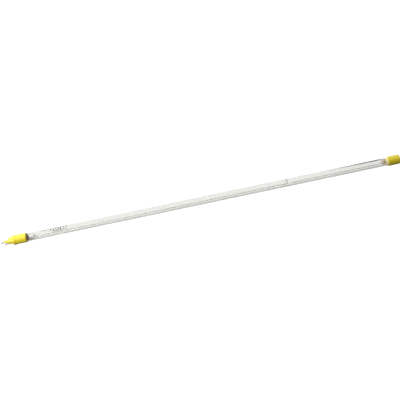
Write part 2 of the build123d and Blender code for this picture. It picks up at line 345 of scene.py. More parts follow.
class Effect(Enum):
    """Shader groups that more than one finish uses."""

    MOTTLE = "mottle"
    GRAIN = "grain"
    DRAWN = "drawn_lines"
    STRETCH = "stretch_of_lamp"


def _mottle(bench: Bench, given: Wires) -> Wires:
    """Soft patches of a second colour, two sizes of noise multiplied."""
    broad = bench.out("TexNoise", {"Vector": given["Vector"], "Scale": given["Scale"], "Detail": 4.0})
    fine_scale = bench.maths("MULTIPLY", given["Scale"], FINER)
    fine = bench.out("TexNoise", {"Vector": given["Vector"], "Scale": fine_scale, "Detail": 3.0})
    mask = bench.between(bench.maths("MULTIPLY", broad, fine), *PATCH_EDGE)
    share = bench.maths("MULTIPLY", mask, given["Amount"])
    return {"Color": bench.mixed(share, given["Color"], given["Patch Color"]), "Mask": mask}


def _grain(bench: Bench, given: Wires) -> Wires:
    """A height of rounded grains between pits, cell distance plus noise."""
    sockets = {"Vector": given["Vector"], "Scale": given["Scale"]}
    cells = bench.out("TexVoronoi", sockets, feature="SMOOTH_F1")
    rough = bench.out("TexNoise", sockets | {"Detail": 5.0})
    return {"Height": bench.maths("ADD", bench.maths("MULTIPLY", cells, given["Pits"]), rough)}


def _drawn(bench: Bench, given: Wires) -> Wires:
    """Fine lines along X, a noise that is squeezed along the lamp."""
    squeeze = bench.out("CombineXYZ", {0: given["Along"], 1: given["Across"], 2: given["Across"]})
    place = bench.out("VectorMath", {0: given["Vector"], 1: squeeze}, operation="MULTIPLY")
    lines = bench.out("TexNoise", {"Vector": place, "Scale": 1.0, "Detail": 4.0})
    return {"Height": lines, "Mask": bench.between(lines, *LINE_EDGE)}


def _stretch(bench: Bench, given: Wires) -> Wires:
    """A mask that fades in from Start to Full along X, and out again by End."""
    x = bench.out("SeparateXYZ", {0: given["Vector"]})
    rise = bench.between(x, given["Start"], given["Full"])
    fall = bench.out("MapRange", {0: x, 1: given["Full"], 2: given["End"], 3: 1.0, 4: 0.0})
    return {"Mask": bench.maths("MULTIPLY", rise, fall)}


# The inputs and outputs of each effect, and the function that builds it
GROUPS: dict[Effect, tuple[tuple[str, ...], tuple[str, ...], Callable[[Bench, Wires], Wires]]] = {
    Effect.MOTTLE: (("Vector", "Scale", "Amount", "Color", "Patch Color"), ("Color", "Mask"), _mottle),
    Effect.GRAIN: (("Vector", "Scale", "Pits"), ("Height",), _grain),
    Effect.DRAWN: (("Vector", "Along", "Across"), ("Height", "Mask"), _drawn),
    Effect.STRETCH: (("Vector", "Start", "Full", "End"), ("Mask",), _stretch),
}
KINDS = {"Vector": "Vector", "Color": "Color", "Patch Color": "Color"}  # the others are numbers


def effect_tree(effect: Effect) -> bpy.types.NodeTree:
    """Build a shared effect the first time that it is asked for.

    Args:
        effect: Which effect.

    Returns:
        Its node group, with named inputs and outputs.
    """
    found = bpy.data.node_groups.get(effect.value)
    if found:
        return found
    inputs, outputs, body = GROUPS[effect]
    tree = bpy.data.node_groups.new(effect.value, "ShaderNodeTree")
    for way, names in (("INPUT", inputs), ("OUTPUT", outputs)):
        for name in names:
            kind = KINDS.get(name, "Float")
            tree.interface.new_socket(name, in_out=way, socket_type=f"NodeSocket{kind}")
    entry = tree.nodes.new("NodeGroupInput")
    leave = tree.nodes.new("NodeGroupOutput")
    bench = Bench(tree)
    for name, socket in body(bench, {name: entry.outputs[name] for name in inputs}).items():
        tree.links.new(socket, leave.inputs[name])
    return tree


# Finishes


def blank_bench(owner: bpy.types.Material | bpy.types.World) -> Bench:
    """Give a material or a world an empty tree of nodes, and a bench to build it on."""
    owner.use_nodes = True
    owner.node_tree.nodes.clear()
    return Bench(owner.node_tree)


def rgba(colour: Colour) -> tuple[float, float, float, float]:
    """A colour with full opacity."""
    return (*colour, 1.0)


@dataclass(frozen=True)
class Finish:
    """What a piece is made of."""

    name: str

    def material(self) -> bpy.types.Material:
        """Build the material once, and return it."""
        made = bpy.data.materials.get(self.name)
        if not made:
            made = bpy.data.materials.new(self.name)
            bench = blank_bench(made)
            place = bench.node("TexCoord").outputs["Object"]
            shader = bench.out("BsdfPrincipled", self.sockets(bench, place))
            bench.node("OutputMaterial", {"Surface": shader})
        return made

    def sockets(self, bench: Bench, place: Socket) -> Sockets:
        """What the finish feeds to the sockets of a Principled shader."""
        raise NotImplementedError


@dataclass(frozen=True)
class Patchy(Finish):
    """A finish whose colour has soft patches of a second one."""

    colour: Colour = (0.5, 0.5, 0.5)
    patch: Colour = (0.3, 0.3, 0.3)
    patches: float = 0.6
    patch_scale: float = 900.0
    roughness: float = 0.3
    dulling: float = 0.0  # what a patch adds to the roughness

    def patched(self, bench: Bench, place: Socket, colour: object = None) -> Sockets:
        """Base Color and Roughness with their patches, over the finish's own colour or this one."""
        mottle = bench.effect(
            Effect.MOTTLE,
            place,
            scale=self.patch_scale,
            amount=self.patches,
            color=colour or rgba(self.colour),
            patch_color=rgba(self.patch),
        )
        rough: object = self.roughness
        if self.dulling:
            dull = self.roughness + self.dulling
            rough = bench.between(mottle.outputs["Mask"], 0.0, 1.0, self.roughness, dull)
        return {"Base Color": mottle.outputs["Color"], "Roughness": rough}


@dataclass(frozen=True)
class Moulding(Patchy):
    """Glossy moulded resin with faint flow patches, a fine skin and a parting line."""

    grain_scale: float = 3500.0
    pits: float = 0.4
    skin: float = 0.12  # height of the grain, as a share of the parting line's
    relief: float = 0.03 * MM
    parting_angle: float = math.radians(128.0)
    parting_width: float = 0.1 * MM

    def sockets(self, bench: Bench, place: Socket) -> Sockets:
        """Patches in the colour and the sheen, and a ridge where the mould halves met."""
        grain = bench.effect(Effect.GRAIN, place, scale=self.grain_scale, pits=self.pits)
        skin = bench.maths("MULTIPLY", grain.outputs["Height"], self.skin)
        off_line = bench.maths("ABSOLUTE", bench.height(place, self.parting_angle + math.pi / 2))
        ridge = bench.between(off_line, 0.0, self.parting_width, 1.0, 0.0)
        return self.patched(bench, place) | {
            "IOR": 1.54,
            "Coat Weight": 0.15,
            "Coat Roughness": 0.2,
            "Normal": bench.bump(0.5, self.relief, bench.maths("ADD", skin, ridge)),
        }


@dataclass(frozen=True)
class Quartz(Finish):
    """Clear drawn quartz, tinted a darker grey-green on its lower side by the base and dark grey towards
    its upper side by the far end.
    """

    clear: Colour = (0.850, 0.852, 0.832)
    # Dark grey towards the upper side of the glass near the far end.
    upper_grey: Colour = (0.22, 0.22, 0.21)
    scorch: Colour = (0.40, 0.29, 0.19)
    # The haze colour darkens the glass to grey-green on its lower side near the base.
    haze: Colour = (0.65, 0.65, 0.57)
    upper_grey_run: Run = (-170 * MM, -22 * MM, -8 * MM)  # from the far rim
    scorch_run: Run = (-14 * MM, -11 * MM, -2 * MM)  # from the far rim
    low_tint_run: Run = (-2 * MM, 7 * MM, 30 * MM)  # from the base rim
    # heights towards the upper side between which a tint fades in or out
    upper_grey_foot: Span = (6.2 * MM, 8.2 * MM)
    scorch_foot: Span = (-6.5 * MM, -3.5 * MM)
    scorch_top: Span = (3.0 * MM, 6.5 * MM)
    low_tint_foot: Span = (-8.0 * MM, -5.0 * MM)
    low_tint_top: Span = (-3.2 * MM, -0.6 * MM)
    # share of a tint that is left past such a height
    upper_grey_rest: float = 0.05
    scorch_rest: float = 0.2
    low_tint_rest: float = 0.3
    scorch_scale: float = 260.0
    browning: float = 0.55  # share of the scorch's colour between its patches
    shade: float = 0.12  # share of the light that a wall keeps off what it holds

    def sockets(self, bench: Bench, place: Socket) -> Sockets:
        """Clear glass, and a colour that each tint is mixed into."""
        far = End.FAR.rim
        height = bench.height(place, UPPER_SIDE)
        # Dark grey towards the upper side near the far end.
        upper = bench.between(height, *self.upper_grey_foot, self.upper_grey_rest, 1.0)
        greyed_share = bench.product(bench.stretch(place, far, self.upper_grey_run), upper)
        greyed = bench.mixed(greyed_share, rgba(self.clear), rgba(self.upper_grey))
        scorched = bench.effect(
            Effect.MOTTLE,
            place,
            scale=self.scorch_scale,
            amount=1.0,
            color=bench.mixed(self.browning, greyed, rgba(self.scorch)),
            patch_color=rgba(self.scorch),
        )
        burnt = bench.product(
            bench.stretch(place, far, self.scorch_run),
            bench.between(height, *self.scorch_top, 1.0, self.scorch_rest),
            bench.between(height, *self.scorch_foot),
        )
        marked = bench.mixed(burnt, greyed, scorched.outputs["Color"])
        # Darker grey-green on the lower side near the base.
        low_tinted = bench.product(
            bench.stretch(place, End.BASE.rim, self.low_tint_run),
            bench.between(height, *self.low_tint_top, 1.0, 0.0),
            bench.between(height, *self.low_tint_foot, self.low_tint_rest, 1.0),
        )
        lines = bench.effect(Effect.DRAWN, place, along=3.0, across=500.0)
        return {
            "Base Color": bench.mixed(low_tinted, marked, rgba(self.haze)),
            "Roughness": 0.0,
            "IOR": 1.458,
            "Transmission Weight": 1.0,
            "Alpha": bench.lit_through(self.shade),
            "Normal": bench.bump(0.25, 0.02 * MM, lines.outputs["Height"]),
        }


@dataclass(frozen=True)
class Granular(Patchy):
    """Cement or unglazed ceramic: patches, and grains that stand out in relief."""

    patches: float = 0.8
    patch_scale: float = 500.0
    grain_scale: float = 3000.0
    pits: float = 0.8
    relief: float = 0.12 * MM
    roughness: float = 0.85
    painted_lit_colour: Colour | None = None  # painted light: a lighter colour on the side away from the upper one
    split: Span = (-7.5 * MM, -5.0 * MM)  # heights between which the two colours meet
    painted_glow: float = 0.0  # painted glow that stands in for light coming through the glass, on the side that lies on it
    spill: float = 0.0  # share of that painted glow on the other sides
    glow_radius: float = 9.6 * MM
    glow_edge: float = 0.1 * MM

    def sockets(self, bench: Bench, place: Socket) -> Sockets:
        """Patchy colour, with painted light as a second colour on the lower side, a bump of grains, and
        a painted glow where one is set.
        """
        colour: object = rgba(self.colour)
        # Painted light: the side away from the upper one takes the lit colour.
        if self.painted_lit_colour:
            upper = bench.between(bench.height(place, UPPER_SIDE), *self.split)
            colour = bench.mixed(upper, rgba(self.painted_lit_colour), colour)
        sockets = self.patched(bench, place, colour)
        grain = bench.effect(Effect.GRAIN, place, scale=self.grain_scale, pits=self.pits)
        sockets["Normal"] = bench.bump(0.8, self.relief, grain.outputs["Height"])
        # Painted glow: the cement's own colour as emission on the side that lies on the glass, in place
        # of light that comes through it.
        if self.painted_glow:
            off_axis = bench.out("VectorMath", {0: place, 1: (0.0, 1.0, 1.0)}, operation="MULTIPLY")
            radius = bench.node("VectorMath", {0: off_axis}, operation="LENGTH").outputs["Value"]
            outside = self.glow_radius + self.glow_edge
            inner = bench.between(radius, self.glow_radius, outside, 1.0, self.spill)
            dark = rgba((0.0, 0.0, 0.0))
            sockets["Emission Color"] = bench.mixed(inner, dark, sockets["Base Color"])
            sockets["Emission Strength"] = self.painted_glow
        return sockets


@dataclass(frozen=True)
class DrawnMetal(Patchy):
    """Metal with drawing lines along the lamp and dull patches."""

    dulling: float = 0.25
    across: float = 9000.0

    def sockets(self, bench: Bench, place: Socket) -> Sockets:
        """Lines in the normal, and patches in the colour and the roughness."""
        lines = bench.effect(Effect.DRAWN, place, along=60.0, across=self.across)
        return self.patched(bench, place) | {
            "Metallic": 1.0,
            "Normal": bench.bump(0.35, 0.01 * MM, lines.outputs["Height"]),
        }


@dataclass(frozen=True)
class Film(Patchy):
    """Clear or milky polymer of a sleeve, with draw marks and a cloudy share."""

    transmission: float = 0.5
    shade: float = 0.4  # share of the light that a wall keeps off what it holds

    def sockets(self, bench: Bench, place: Socket) -> Sockets:
        """Partly clear resin with patches in the colour and fine marks along it."""
        lines = bench.effect(Effect.DRAWN, place, along=25.0, across=3000.0)
        return self.patched(bench, place) | {
            "IOR": 1.38,
            "Transmission Weight": self.transmission,
            "Alpha": bench.lit_through(self.shade),
            "Normal": bench.bump(0.3, 0.02 * MM, lines.outputs["Height"]),
        }


@dataclass(frozen=True)
class ShrunkFilm(Finish):
    """Thin clear film: a faint haze over what it covers, and painted shade as a grey strip along its
    rolled edge on one side.
    """

    colour: Colour = (0.93, 0.93, 0.92)
    # Colour of the painted shade along the rolled edge.
    edge_shade_colour: Colour = (0.16, 0.16, 0.155)
    haze: float = 0.03
    streaks: Span = (0.8, 1.2)  # the haze at its thinnest and its densest, as multiples of it
    edge_cover: float = 0.5
    edge_width: float = 2.0 * MM
    edge_inset: float = 0.6 * MM
    edge_fade: float = 0.3  # share of the edge's width over which each of its sides fades
    edge_side: float = math.radians(65.0)  # middle of the side where the edge's painted shade lies
    edge_foot: Span = (0.0, 3.0 * MM)  # heights towards that side between which it fades in

    def sockets(self, bench: Bench, place: Socket) -> Sockets:
        """Haze as a low opacity, broken by draw marks, and painted shade along the rolled edge as a
        darker, denser strip.
        """
        _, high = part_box("retaining_band")
        x = bench.out("SeparateXYZ", {0: place})
        outer = high.x - self.edge_inset
        fade = self.edge_fade * self.edge_width
        # Painted shade: a dark, denser strip just inside the band's outer end, on one side only.
        edge_shade = bench.product(
            bench.between(x, outer - self.edge_width, outer - self.edge_width + fade),
            bench.between(x, outer - fade, outer, 1.0, 0.0),
            bench.between(bench.height(place, self.edge_side), *self.edge_foot),
        )
        lines = bench.effect(Effect.DRAWN, place, along=60.0, across=1200.0)
        thin, dense = (share * self.haze for share in self.streaks)
        haze = bench.between(lines.outputs["Mask"], 0.0, 1.0, thin, dense)
        return {
            "Base Color": bench.mixed(edge_shade, rgba(self.colour), rgba(self.edge_shade_colour)),
            "Roughness": 0.22,
            "Alpha": bench.between(edge_shade, 0.0, 1.0, haze, self.edge_cover),
            "Normal": bench.bump(0.3, 0.03 * MM, lines.outputs["Height"]),
        }


@dataclass(frozen=True)
class Ink(Patchy):
    """Fired marking ink, matt and worn in patches."""

    def sockets(self, bench: Bench, place: Socket) -> Sockets:
        """The patches, and no more."""
        return self.patched(bench, place)


YELLOW = Moulding(
    "yellow_moulding",
    colour=(0.96, 0.77, 0.03),
    patch=(0.87, 0.62, 0.015),
    patches=0.35,
    patch_scale=160.0,
    roughness=0.34,
    dulling=0.12,
)
QUARTZ = Quartz("clear_quartz")
# The brown ring has painted light as a cream colour on its lower side.
CEMENT_BROWN = Granular(
    "brown_cement",
    colour=(0.16, 0.11, 0.05),
    patch=(0.07, 0.05, 0.03),
    painted_lit_colour=(0.86, 0.74, 0.62),
    painted_glow=0.9,
)
# The cement rings glow as painted light on the side that lies on the glass, the cream one faintly on its
# other sides too.
CEMENT_CREAM = Granular(
    "cream_cement",
    colour=(1.0, 0.89, 0.58),
    patch=(0.60, 0.40, 0.18),
    patches=0.35,
    painted_glow=0.4,
    spill=0.4,
)
CERAMIC = {
    end: Granular(name, colour, patch, 0.4, grain_scale=6000.0, relief=0.03 * MM, roughness=0.7)
    for end, name, colour, patch in (
        (End.BASE, "tan_ceramic", (0.40, 0.37, 0.28), (0.28, 0.24, 0.18)),
        (End.FAR, "pink_ceramic", (0.92, 0.80, 0.72), (0.74, 0.60, 0.52)),
    )
}
EMITTER = Granular(
    "emitter_coat",
    colour=(0.86, 0.68, 0.60),
    patch=(0.45, 0.36, 0.33),
    patches=0.6,
    patch_scale=1500.0,
    grain_scale=8000.0,
    relief=0.04 * MM,
    roughness=0.9,
)
# The pins are nearly black: tarnish, and painted shade.
PIN_METAL = DrawnMetal("tarnished_shaded_pin", (0.06, 0.055, 0.045), (0.03, 0.026, 0.02), roughness=0.45)
WIRE_METAL = DrawnMetal("nickel_wire", (0.56, 0.54, 0.51), (0.33, 0.31, 0.29), 0.5)
FOIL_METAL = DrawnMetal("rolled_foil", (0.50, 0.48, 0.46), (0.36, 0.34, 0.33), roughness=0.4)
CRIMP_METAL = DrawnMetal("plated_crimp", (0.64, 0.62, 0.58), (0.42, 0.40, 0.37), 0.4)
AMALGAM = DrawnMetal("amalgam_drop", (0.62, 0.62, 0.62), (0.40, 0.40, 0.41), across=1500.0)
SLEEVE = Film("sleeve_resin", (0.86, 0.87, 0.85), (0.74, 0.75, 0.73), 0.4, 220.0, 0.25)
BAND_FILM = ShrunkFilm("shrunk_film")
INK = Ink("marking_ink", (0.02, 0.02, 0.022), (0.12, 0.12, 0.125), 0.8, roughness=0.6)


# Sub-assemblies


@dataclass
class QuartzTube:
    """The clear tube: drawn round, pressed flat and solid at both ends."""

    radius: float = 9.5 * MM
    wall: float = 1.1 * MM
    pinch_half: float = 2.0 * MM
    hollow_half: float = 0.9 * MM
    round_until: float = 7.0 * MM  # inside the cap's rim
    flat_from: float = 11.0 * MM
    hollow_end: float = 10.0 * MM
    pinch_end: float = 21.0 * MM
    press_lead: float = 0.3 * MM
    edge: float = 0.35 * MM
    corner: float = 3.0  # how soon the corner at the jaws has its full rounding
    sides: int = 144
    taper_steps: int = 28
    straight_steps: int = 60
    pinch_steps: int = 4
    edge_steps: int = 6

    def half_height(self, inside: Array, radius: float, flat: float, flat_from: float) -> Array:
        """Half the height between the jaws.

        It is a cubic Bezier from the round tube to the flat pinch, whose handles lie halfway
        along, so with t from 0 to 1 it falls by the share 3tt - 2ttt of the whole drop.

        Args:
            inside: How far each station lies inside the cap's rim.
            radius: Radius of the round part.
            flat: Half the height of the flat part.
            flat_from: Where the flat part starts, inside the rim.

        Returns:
            The half height of each station.
        """
        start = radius + self.press_lead
        t = np.clip((inside - self.round_until) / (flat_from - self.round_until), 0, 1)
        return start + (flat - start) * eased(t)

    def wall_grid(self, radius: float, flat: float, flat_from: float, tip: float) -> Array:
        """Rings of a round rod that two jaws press flat at both ends.

        A point at angle a lies at Y = R cos a, and its Z is the smaller of R sin a and the jaws'
        half height, with the corner between the two rounded by a smooth minimum. The last rings
        shrink by a quarter ellipse, which rounds the end.

        Args:
            radius: Radius R of the rod.
            flat: Half the height of the flat part.
            flat_from: Where the flat part starts, inside each rim.
            tip: Where the rod ends, inside each rim.

        Returns:
            The grid of points.
        """
        taper = np.linspace(self.round_until, flat_from, self.taper_steps)
        run = np.linspace(flat_from, tip - self.edge, self.pinch_steps)[1:]
        bend = np.linspace(0, math.pi / 2, self.edge_steps)[1:]
        inside = np.concatenate((taper, run, tip - self.edge + self.edge * np.sin(bend)))
        base_x = (End.BASE.rim - inside)[::-1]
        far_x = End.FAR.rim + inside
        middle = np.linspace(base_x[-1], far_x[0], self.straight_steps)[1:-1]
        x = np.concatenate((base_x, middle, far_x))[:, None]
        within = np.maximum(End.BASE.rim - x, x - End.FAR.rim)
        half = self.half_height(within, radius, flat, flat_from)
        past = np.clip((within - (tip - self.edge)) / self.edge, 0, 1)
        shrink = self.edge * (1 - np.sqrt(np.clip(1 - past * past, 0, 1)))
        angles = turns(self.sides)[None, :]
        reach = radius - shrink
        rise = reach * np.abs(np.sin(angles))
        limit = np.minimum(half, radius + self.press_lead) - shrink
        pressed = (radius + self.press_lead - half) / radius * self.corner
        soft = np.maximum(NO_LENGTH, self.edge * np.clip(pressed, 0, 1))
        share = np.clip(0.5 + 0.5 * (limit - rise) / soft, 0, 1)
        z = limit * (1 - share) + rise * share - soft * share * (1 - share)
        y = reach * np.cos(angles)
        x, y, z = np.broadcast_arrays(x, y, z * np.sign(np.sin(angles)))
        return rolled(np.stack((x, y, z), -1))

    def build(self) -> None:
        """Make the tube's outer wall and the wall of its hollow as one piece of glass."""
        bore = self.radius - self.wall
        outer = self.wall_grid(self.radius, self.pinch_half, self.flat_from, self.pinch_end)
        inner = self.wall_grid(bore, self.hollow_half, self.hollow_end, self.hollow_end + self.edge)
        shells = [Shell.ring_stack(outer), Shell.ring_stack(inner, inside_out=True)]
        make_piece("quartz_glass", shells, QUARTZ, ("quartz_tube",))


@dataclass
class CementRing:
    """The cement that holds a cap on the glass, with the uneven bead that was pressed out of it."""

    end: End
    finish: Finish
    slot: str
    glass_gap: float = 0.02 * MM
    root_gap: float = 0.05 * MM
    skirt: float = 0.4 * MM
    toe_thickness: float = 0.25 * MM
    fullness: float = 2.2  # the power p of the bead's outer line
    ripple: float = 0.45 * MM
    waves: tuple[Run, ...] = ((5, 0.6, 1.0), (11, 2.1, 0.6), (23, 4.0, 0.4))
    lump: float = 0.03 * MM
    lumps: Span = (9, 14)  # how many lie round the ring, and how far they lean along it
    sides: int = 180
    steps: int = 22

    def build(self) -> None:
        """Carry a bead's profile round the tube, with waves in its toe.

        The bead's outer line goes from the rim to the toe as a share s from 0 to 1. Its height
        over the glass is the toe's plus the rest times (1 - s^p), and the toe moves in and out
        by a sum of sines of the angle, each with its own count, phase and size.
        """
        node = f"{self.end.value}_cement"
        low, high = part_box(node)
        rim = self.end.rim
        reach = (high.x - rim) if self.end is End.BASE else (rim - low.x)
        tube = QuartzTube()
        inner = tube.radius + self.glass_gap
        toe = inner + self.toe_thickness
        root = (high.z - low.z) / 2 - self.root_gap
        angles = turns(self.sides)
        wave = sum(size * np.sin(count * angles + phase) for count, phase, size in self.waves)
        wave = (wave - wave.max()) / (wave.max() - wave.min())
        share = np.linspace(0, 1, self.steps)[:, None]
        count, lean = self.lumps
        lumps = np.sin(count * angles + lean * share) * share * (1 - share) * 4
        top = toe + (root - toe) * (1 - share**self.fullness) + self.lump * lumps
        bead_x = rim + self.end.inward * (reach + 2 * self.ripple * wave) * share
        back_x = rim - self.end.inward * tube.round_until
        skirt_r = tube.radius + self.skirt
        rows_x = (back_x, back_x, rim, *bead_x, bead_x[-1])
        rows_r = (inner, skirt_r, skirt_r, *top, inner)
        x, r = (np.array([row + 0 * angles for row in rows]) for rows in (rows_x, rows_r))
        shell = Shell.ring_stack(round_about(x, r, angles), looped=True)
        make_piece(f"{self.end.value}_cement_bead", [shell], self.finish, (node,))


@dataclass
class Filament:
    """An electrode's wound wire with its emitter coat, and its tails in the clamps."""

    end: End
    span: float = 9.2 * MM
    bow: float = 1.9 * MM
    winding_radius: float = 0.56 * MM
    wire_radius: float = 0.23 * MM
    coat: float = 0.05 * MM
    windings: int = 10
    tail_end: float = 7.1 * MM
    tail_inset: float = 0.85 * MM
    run_out: float = 0.08  # share of half the span over which the coil fades into its tails
    lump_rates: Span = (0.63, 1.71)  # lumps of the coat in each turn, as two waves
    steps_per_turn: int = 22
    sides: int = 12

    def build(self) -> None:
        """Sweep a round wire along a helix whose axis is bowed.

        With s from -1 to 1 along the coil, the axis lies at Y = s times half the span, and X is
        pushed inwards by the bow times (1 - ss). The wire turns about that axis at the winding
        radius, which fades to nothing where the coil runs out into its tails.
        """
        node = f"{self.end.value}_filament"
        low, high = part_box(node)
        node_y, node_z = middle(low, high)
        tail_x = low.x if self.end is End.BASE else high.x
        tail_x += self.end.inward * self.tail_inset
        lift = node_z * math.cos(REST_ROLL) - node_y * math.sin(REST_ROLL)
        half = self.span / 2
        limit = self.tail_end / half
        count = int(self.windings * self.steps_per_turn * limit)
        s = np.linspace(-limit, limit, count)
        wound = eased(np.clip((1.0 - np.abs(s)) / self.run_out, 0, 1))
        turn = s * self.windings * math.pi
        radial = np.stack((np.cos(turn), np.zeros(count), np.sin(turn)), -1)
        bowed = self.bow * np.clip(1 - s * s, 0, 1)
        axis = np.stack((tail_x + self.end.inward * bowed, s * half, np.full(count, lift)), -1)
        path = axis + radial * (self.winding_radius * wound)[:, None]
        tangent = np.gradient(path, axis=0)
        tangent /= np.linalg.norm(tangent, axis=1)[:, None]
        normal = radial - (radial * tangent).sum(1)[:, None] * tangent
        normal /= np.linalg.norm(normal, axis=1)[:, None]
        binormal = np.cross(tangent, normal)
        slow, quick = self.lump_rates
        lumps = (np.sin(turn * slow + 1.0) + np.sin(turn * quick)) / 2
        radius = self.wire_radius - self.coat * (1 - wound) + self.coat * wound * lumps
        angles = turns(self.sides)[:, None]
        offset = normal[:, None] * np.cos(angles) + binormal[:, None] * np.sin(angles)
        shell = Shell.ring_stack(rolled(path[:, None] + offset * radius[:, None, None]))
        make_piece(f"{self.end.value}_wound_filament", [shell], EMITTER, (node,))


@dataclass
class CeramicBead:
    """A ceramic tube that guides a return wire out of its cap, with rounded ends."""

    end: End
    side: Side
    bore_radius: float = 0.38 * MM
    edge: float = 0.22 * MM
    waist: float = 0.06 * MM
    sides: int = 40
    steps: int = 14
    edge_steps: int = 6

    def build(self) -> None:
        """Turn a closed profile about the wire's own line: outer wall, rounded ends and bore.

        The outer wall is drawn in by the waist times a sine along the bead, and each end is a
        half circle of the edge radius, flattened to the wall.
        """
        node = f"{self.end.value}_bead_{self.side.value}"
        low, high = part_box(node)
        outer = (high.z - low.z) / 2
        along = np.linspace(0, 1, self.steps)
        bend = np.linspace(0, math.pi / 2, self.edge_steps)
        wall_x = low.x + self.edge + (high.x - low.x - 2 * self.edge) * along
        wall_r = outer - self.waist * np.sin(math.pi * along) ** 2
        far_x = high.x - self.edge + self.edge * np.sin(bend)
        round_r = outer - self.edge + self.edge * np.cos(bend)
        near_x = low.x + self.edge - self.edge * np.sin(bend)
        x = np.concatenate((wall_x, far_x[1:], [high.x, low.x], near_x[:0:-1]))
        r = np.concatenate((wall_r, round_r[1:], [self.bore_radius] * 2, round_r[:0:-1]))
        grid = round_about(x[:, None], r[:, None], turns(self.sides)[None, :], middle(low, high))
        shell = Shell.ring_stack(grid, looped=True)
        make_piece(f"{node}_tube", [shell], CERAMIC[self.end], (node,))


@dataclass
class ShrunkBand:
    """The film that is shrunk round the glass and both sleeves."""

    glass_radius: float = 9.5 * MM
    sleeve_radius: float = 0.75 * MM
    gap: float = 0.05 * MM
    film: float = 0.3 * MM
    rolled_edge: float = 0.22 * MM
    edge_length: float = 0.8 * MM
    pucker: float = 0.03 * MM
    puckers: Span = (17, 6)  # how many lie round the band, and how far they lean across it
    sides: int = 240
    steps: int = 34

    def outline(self, growth: Array, angles: Array) -> Array:
        """Y and Z of a loop drawn tight round the glass and the sleeves.

        For each direction of the outward normal, the loop touches the disc whose centre, taken
        along that normal and added to its radius, lies furthest out.

        Args:
            growth: How far the loop stands off the discs.
            angles: Directions of the normal.

        Returns:
            The points, by growth and by angle.
        """
        sleeves = [middle(*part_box(f"wire_sleeve_{side.value}")) for side in Side]
        discs = np.array([(0.0, 0.0), *sleeves])
        radii = np.array([self.glass_radius] + [self.sleeve_radius] * len(Side))
        normal = np.stack((np.cos(angles), np.sin(angles)), -1)
        touched = np.argmax(normal @ discs.T + radii, axis=1)
        return discs[touched] + normal * (radii[touched] + growth)[..., None]

    def build(self) -> None:
        """Lay the film's outside and inside along its width, with rolled edges and fine puckers.

        The outside stands off by the film, plus a hump of the rolled edge that falls off as a
        bell curve from each end, plus puckers that are a sine round the band.
        """
        low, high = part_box("retaining_band")
        angles = turns(self.sides)
        along = np.linspace(0, 1, self.steps)[:, None]
        x = low.x + (high.x - low.x) * along
        from_edge = np.minimum(x - low.x, high.x - x)
        half_edge = self.edge_length / 2
        hump = self.rolled_edge * np.exp(-(((from_edge - half_edge) / half_edge) ** 2))
        count, lean = self.puckers
        puckers = self.pucker * np.sin(count * angles + lean * along) * np.sin(math.pi * along)
        outside = self.gap + self.film + hump + puckers
        inside = np.full_like(outside, self.gap)
        rows = []
        for row_x, growth in (*zip(x[:, 0], outside), *zip(x[::-1, 0], inside)):
            rows.append(np.column_stack((np.full(self.sides, row_x), self.outline(growth, angles))))
        shell = Shell.ring_stack(np.array(rows), looped=True)
        make_piece("shrunk_band", [shell], BAND_FILM, ("retaining_band",))


@dataclass(frozen=True)
class Mark:
    """One bar of the marking: its start and length along the lamp, and its place round the glass."""

    start: float
    length: float
    angle: float
    height: float


@dataclass
class MarkingField:
    """The field of plain bars that stands where the real lamp carries its print."""

    glass_radius: float = 9.5 * MM
    stand_off: float = 0.02 * MM
    thickness: float = 0.03 * MM
    from_rim: float = 17.0 * MM
    bar_lengths: tuple[float, float] = (1.6 * MM, 3.8 * MM)
    bar_gaps: tuple[float, float] = (2.2 * MM, 4.8 * MM)
    rows: tuple[tuple[float, float, float, float], ...] = (
        # angle, bar height, and where the row starts and ends along the lamp, from the first mark
        (72.0, 3.0, 20.0, 86.0),
        (94.0, 1.8, 44.0, 60.0),
        (110.0, 1.8, 50.0, 79.0),
        (126.0, 1.6, 48.0, 72.0),
    )
    tall_bars: tuple[tuple[float, float, float, float], ...] = (
        # start, length and height of each bar, and its angle
        (62.0, 1.9, 4.8, 94.0),
        (66.8, 1.9, 4.2, 92.0),
    )
    spot_start: float = 3.2 * MM  # from the first mark
    spot_size: Span = (2.8 * MM, 3.2 * MM)  # along the lamp and round it
    spot_angle: float = math.radians(120.0)
    bar_steps: int = 7
    seed: int = 11

    def marks(self) -> list[Mark]:
        """Rows of bars of uneven length with clear gaps, and one square spot before them."""
        start = End.BASE.rim + self.from_rim
        draw = np.random.default_rng(self.seed)
        spot_length, spot_height = self.spot_size
        found = [Mark(start + self.spot_start, spot_length, self.spot_angle, spot_height)]
        for first, length, height, angle in self.tall_bars:
            found.append(Mark(start + first * MM, length * MM, math.radians(angle), height * MM))
        for angle, height, first, last in self.rows:
            x = first * MM
            while x < last * MM:
                length = draw.uniform(*self.bar_lengths)
                found.append(Mark(start + x, length, math.radians(angle), height * MM))
                x += length + draw.uniform(*self.bar_gaps)
        return found

    def bar(self, mark: Mark) -> Shell:
        """A thin curved plate on the glass: four corners at each of a few steps round the tube."""
        spread = np.linspace(-0.5, 0.5, self.bar_steps) * mark.height / self.glass_radius + mark.angle
        low = self.glass_radius + self.stand_off
        high = low + self.thickness
        end = mark.start + mark.length
        x = np.array([mark.start, end, end, mark.start])[None, :]
        r = np.array([low, low, high, high])[None, :]
        return Shell.ring_stack(round_about(x, r, spread[:, None]))

    def build(self) -> None:
        """Make all the bars as one piece."""
        make_piece("marking_bars", [self.bar(mark) for mark in self.marks()], INK)


# Setting


